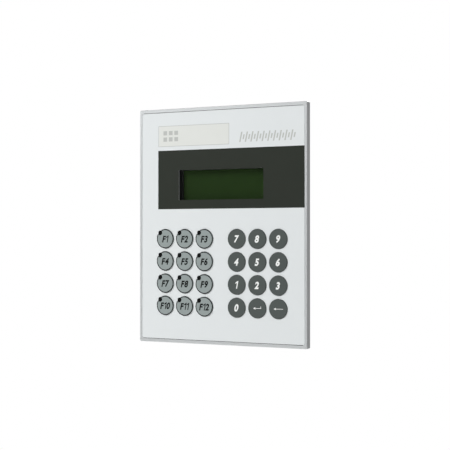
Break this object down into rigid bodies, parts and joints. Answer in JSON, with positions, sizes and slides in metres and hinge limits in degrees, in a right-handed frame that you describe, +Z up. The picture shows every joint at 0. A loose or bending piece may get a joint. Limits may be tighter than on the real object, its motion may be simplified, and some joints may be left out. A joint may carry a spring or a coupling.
{
  "type": "keypad operator panel",
  "caption": "Flush-mounted rectangular panel with a dark band round a small text display, a block of function keys with lights, a number pad, and a shallow clamped rear housing.",
  "frame": {"origin": "centre of the sealing plane, the rear face of the gasket, where the panel seats on the door", "axes": "+Z up, +Y back through the door, +X to the operator's right; the keys face -Y"},
  "size_m": [0.158, 0.0435, 0.2],
  "materials": {
    "anodised_rim": "fine satin anodised",
    "printed_foil": "fine-textured pale grey polyester with a dark printed band",
    "clear_pane": "clear polycarbonate",
    "label_paper": "blank coated paper",
    "black_foam": "black closed-cell foam",
    "light_lens": "smoked translucent plastic",
    "spring_steel": "bright rolled",
    "circuit_board": "green solder resist",
    "black_steel": "black oxide",
    "display_glass": "dark yellow-green display, unlit",
    "white_plastic": "white light guide",
    "ribbon_grey": "grey flat cable",
    "gasket_foam": "dark closed-cell foam",
    "chip_black": "moulded epoxy",
    "plated_brass": "nickel plated",
    "zinc_steel": "zinc plated",
    "connector_shell": "tinned steel",
    "terminal_plastic": "green polyamide",
    "housing_sheet": "hot-dip galvanised sheet",
    "earth_brass": "bright",
    "clamp_diecast": "zinc die casting",
    "key_grey": "fine-textured mid grey",
    "key_dark": "fine-textured dark grey",
    "clamp_foot_plastic": "glass-filled polyamide"
  },
  "bodies": {
    "panel": {"front_plate": "anodised_rim", "overlay_foil": "printed_foil", "clear_windows": "clear_pane", "label_insert": "label_paper", "light_seal": "black_foam", "function_leds": "light_lens", "snap_domes": "spring_steel", "keypad_board": "circuit_board", "lcd_frame": "black_steel", "lcd_glass": "display_glass", "lcd_backlight": "white_plastic", "lcd_board": "circuit_board", "lcd_ribbon": "ribbon_grey", "panel_gasket": "gasket_foam", "controller_board": "circuit_board", "board_components": "chip_black", "buzzer": "chip_black", "board_standoffs": "plated_brass", "board_screws": "zinc_steel", "serial_port": "connector_shell", "serial_jackposts": "zinc_steel", "terminal_block": "terminal_plastic", "terminal_screws": "zinc_steel", "rear_housing": "housing_sheet", "housing_standoffs": "zinc_steel", "housing_screws": "zinc_steel", "earth_stud": "earth_brass", "clamp_brackets": "clamp_diecast"},
    "key_f1": {"key_f1": "key_grey"},
    "key_f2": {"key_f2": "key_grey"},
    "key_f3": {"key_f3": "key_grey"},
    "key_f4": {"key_f4": "key_grey"},
    "key_f5": {"key_f5": "key_grey"},
    "key_f6": {"key_f6": "key_grey"},
    "key_f7": {"key_f7": "key_grey"},
    "key_f8": {"key_f8": "key_grey"},
    "key_f9": {"key_f9": "key_grey"},
    "key_f10": {"key_f10": "key_grey"},
    "key_f11": {"key_f11": "key_grey"},
    "key_f12": {"key_f12": "key_grey"},
    "key_0": {"key_0": "key_dark"},
    "key_1": {"key_1": "key_dark"},
    "key_2": {"key_2": "key_dark"},
    "key_3": {"key_3": "key_dark"},
    "key_4": {"key_4": "key_dark"},
    "key_5": {"key_5": "key_dark"},
    "key_6": {"key_6": "key_dark"},
    "key_7": {"key_7": "key_dark"},
    "key_8": {"key_8": "key_dark"},
    "key_9": {"key_9": "key_dark"},
    "key_enter": {"key_enter": "key_dark"},
    "key_backspace": {"key_backspace": "key_dark"},
    "clamp_foot_1": {"clamp_foot_1": "clamp_foot_plastic"},
    "clamp_screw_1": {"clamp_screw_1": "zinc_steel"},
    "clamp_foot_2": {"clamp_foot_2": "clamp_foot_plastic"},
    "clamp_screw_2": {"clamp_screw_2": "zinc_steel"},
    "clamp_foot_3": {"clamp_foot_3": "clamp_foot_plastic"},
    "clamp_screw_3": {"clamp_screw_3": "zinc_steel"},
    "clamp_foot_4": {"clamp_foot_4": "clamp_foot_plastic"},
    "clamp_screw_4": {"clamp_screw_4": "zinc_steel"}
  },
  "joints": [
    {"name": "press_f1", "type": "slide", "parent": "panel", "child": "key_f1", "axis": [0, 1, 0], "range_m": [0, 0.0006], "stiffness_N_per_m": 3000, "springref_m": -0.0003, "deforming": ["snap_domes"]},
    {"name": "press_f2", "type": "slide", "parent": "panel", "child": "key_f2", "axis": [0, 1, 0], "range_m": [0, 0.0006], "stiffness_N_per_m": 3000, "springref_m": -0.0003, "deforming": ["snap_domes"]},
    {"name": "press_f3", "type": "slide", "parent": "panel", "child": "key_f3", "axis": [0, 1, 0], "range_m": [0, 0.0006], "stiffness_N_per_m": 3000, "springref_m": -0.0003, "deforming": ["snap_domes"]},
    {"name": "press_f4", "type": "slide", "parent": "panel", "child": "key_f4", "axis": [0, 1, 0], "range_m": [0, 0.0006], "stiffness_N_per_m": 3000, "springref_m": -0.0003, "deforming": ["snap_domes"]},
    {"name": "press_f5", "type": "slide", "parent": "panel", "child": "key_f5", "axis": [0, 1, 0], "range_m": [0, 0.0006], "stiffness_N_per_m": 3000, "springref_m": -0.0003, "deforming": ["snap_domes"]},
    {"name": "press_f6", "type": "slide", "parent": "panel", "child": "key_f6", "axis": [0, 1, 0], "range_m": [0, 0.0006], "stiffness_N_per_m": 3000, "springref_m": -0.0003, "deforming": ["snap_domes"]},
    {"name": "press_f7", "type": "slide", "parent": "panel", "child": "key_f7", "axis": [0, 1, 0], "range_m": [0, 0.0006], "stiffness_N_per_m": 3000, "springref_m": -0.0003, "deforming": ["snap_domes"]},
    {"name": "press_f8", "type": "slide", "parent": "panel", "child": "key_f8", "axis": [0, 1, 0], "range_m": [0, 0.0006], "stiffness_N_per_m": 3000, "springref_m": -0.0003, "deforming": ["snap_domes"]},
    {"name": "press_f9", "type": "slide", "parent": "panel", "child": "key_f9", "axis": [0, 1, 0], "range_m": [0, 0.0006], "stiffness_N_per_m": 3000, "springref_m": -0.0003, "deforming": ["snap_domes"]},
    {"name": "press_f10", "type": "slide", "parent": "panel", "child": "key_f10", "axis": [0, 1, 0], "range_m": [0, 0.0006], "stiffness_N_per_m": 3000, "springref_m": -0.0003, "deforming": ["snap_domes"]},
    {"name": "press_f11", "type": "slide", "parent": "panel", "child": "key_f11", "axis": [0, 1, 0], "range_m": [0, 0.0006], "stiffness_N_per_m": 3000, "springref_m": -0.0003, "deforming": ["snap_domes"]},
    {"name": "press_f12", "type": "slide", "parent": "panel", "child": "key_f12", "axis": [0, 1, 0], "range_m": [0, 0.0006], "stiffness_N_per_m": 3000, "springref_m": -0.0003, "deforming": ["snap_domes"]},
    {"name": "press_0", "type": "slide", "parent": "panel", "child": "key_0", "axis": [0, 1, 0], "range_m": [0, 0.0006], "stiffness_N_per_m": 3000, "springref_m": -0.0003, "deforming": ["snap_domes"]},
    {"name": "press_1", "type": "slide", "parent": "panel", "child": "key_1", "axis": [0, 1, 0], "range_m": [0, 0.0006], "stiffness_N_per_m": 3000, "springref_m": -0.0003, "deforming": ["snap_domes"]},
    {"name": "press_2", "type": "slide", "parent": "panel", "child": "key_2", "axis": [0, 1, 0], "range_m": [0, 0.0006], "stiffness_N_per_m": 3000, "springref_m": -0.0003, "deforming": ["snap_domes"]},
    {"name": "press_3", "type": "slide", "parent": "panel", "child": "key_3", "axis": [0, 1, 0], "range_m": [0, 0.0006], "stiffness_N_per_m": 3000, "springref_m": -0.0003, "deforming": ["snap_domes"]},
    {"name": "press_4", "type": "slide", "parent": "panel", "child": "key_4", "axis": [0, 1, 0], "range_m": [0, 0.0006], "stiffness_N_per_m": 3000, "springref_m": -0.0003, "deforming": ["snap_domes"]},
    {"name": "press_5", "type": "slide", "parent": "panel", "child": "key_5", "axis": [0, 1, 0], "range_m": [0, 0.0006], "stiffness_N_per_m": 3000, "springref_m": -0.0003, "deforming": ["snap_domes"]},
    {"name": "press_6", "type": "slide", "parent": "panel", "child": "key_6", "axis": [0, 1, 0], "range_m": [0, 0.0006], "stiffness_N_per_m": 3000, "springref_m": -0.0003, "deforming": ["snap_domes"]},
    {"name": "press_7", "type": "slide", "parent": "panel", "child": "key_7", "axis": [0, 1, 0], "range_m": [0, 0.0006], "stiffness_N_per_m": 3000, "springref_m": -0.0003, "deforming": ["snap_domes"]},
    {"name": "press_8", "type": "slide", "parent": "panel", "child": "key_8", "axis": [0, 1, 0], "range_m": [0, 0.0006], "stiffness_N_per_m": 3000, "springref_m": -0.0003, "deforming": ["snap_domes"]},
    {"name": "press_9", "type": "slide", "parent": "panel", "child": "key_9", "axis": [0, 1, 0], "range_m": [0, 0.0006], "stiffness_N_per_m": 3000, "springref_m": -0.0003, "deforming": ["snap_domes"]},
    {"name": "press_enter", "type": "slide", "parent": "panel", "child": "key_enter", "axis": [0, 1, 0], "range_m": [0, 0.0006], "stiffness_N_per_m": 3000, "springref_m": -0.0003, "deforming": ["snap_domes"]},
    {"name": "press_backspace", "type": "slide", "parent": "panel", "child": "key_backspace", "axis": [0, 1, 0], "range_m": [0, 0.0006], "stiffness_N_per_m": 3000, "springref_m": -0.0003, "deforming": ["snap_domes"]},
    {"name": "clamp_feed_1", "type": "slide", "parent": "panel", "child": "clamp_foot_1", "axis": [0, -1, 0], "range_m": [0, 0.005]},
    {"name": "clamp_turn_1", "type": "hinge", "parent": "clamp_foot_1", "child": "clamp_screw_1", "pos_m": [-0.044, 0.015, 0.0933], "axis": [0, -1, 0], "range_deg": [0, 2571.5]},
    {"name": "clamp_feed_2", "type": "slide", "parent": "panel", "child": "clamp_foot_2", "axis": [0, -1, 0], "range_m": [0, 0.005]},
    {"name": "clamp_turn_2", "type": "hinge", "parent": "clamp_foot_2", "child": "clamp_screw_2", "pos_m": [0.044, 0.015, 0.0933], "axis": [0, -1, 0], "range_deg": [0, 2571.5]},
    {"name": "clamp_feed_3", "type": "slide", "parent": "panel", "child": "clamp_foot_3", "axis": [0, -1, 0], "range_m": [0, 0.005]},
    {"name": "clamp_turn_3", "type": "hinge", "parent": "clamp_foot_3", "child": "clamp_screw_3", "pos_m": [-0.044, 0.015, -0.0933], "axis": [0, -1, 0], "range_deg": [0, 2571.5]},
    {"name": "clamp_feed_4", "type": "slide", "parent": "panel", "child": "clamp_foot_4", "axis": [0, -1, 0], "range_m": [0, 0.005]},
    {"name": "clamp_turn_4", "type": "hinge", "parent": "clamp_foot_4", "child": "clamp_screw_4", "pos_m": [0.044, 0.015, -0.0933], "axis": [0, -1, 0], "range_deg": [0, 2571.5]}
  ],
  "couplings": [
    {"joint": "clamp_turn_1", "follows": "clamp_feed_1", "rad_per_m": 8976},
    {"joint": "clamp_turn_2", "follows": "clamp_feed_2", "rad_per_m": 8976},
    {"joint": "clamp_turn_3", "follows": "clamp_feed_3", "rad_per_m": 8976},
    {"joint": "clamp_turn_4", "follows": "clamp_feed_4", "rad_per_m": 8976}
  ]
}
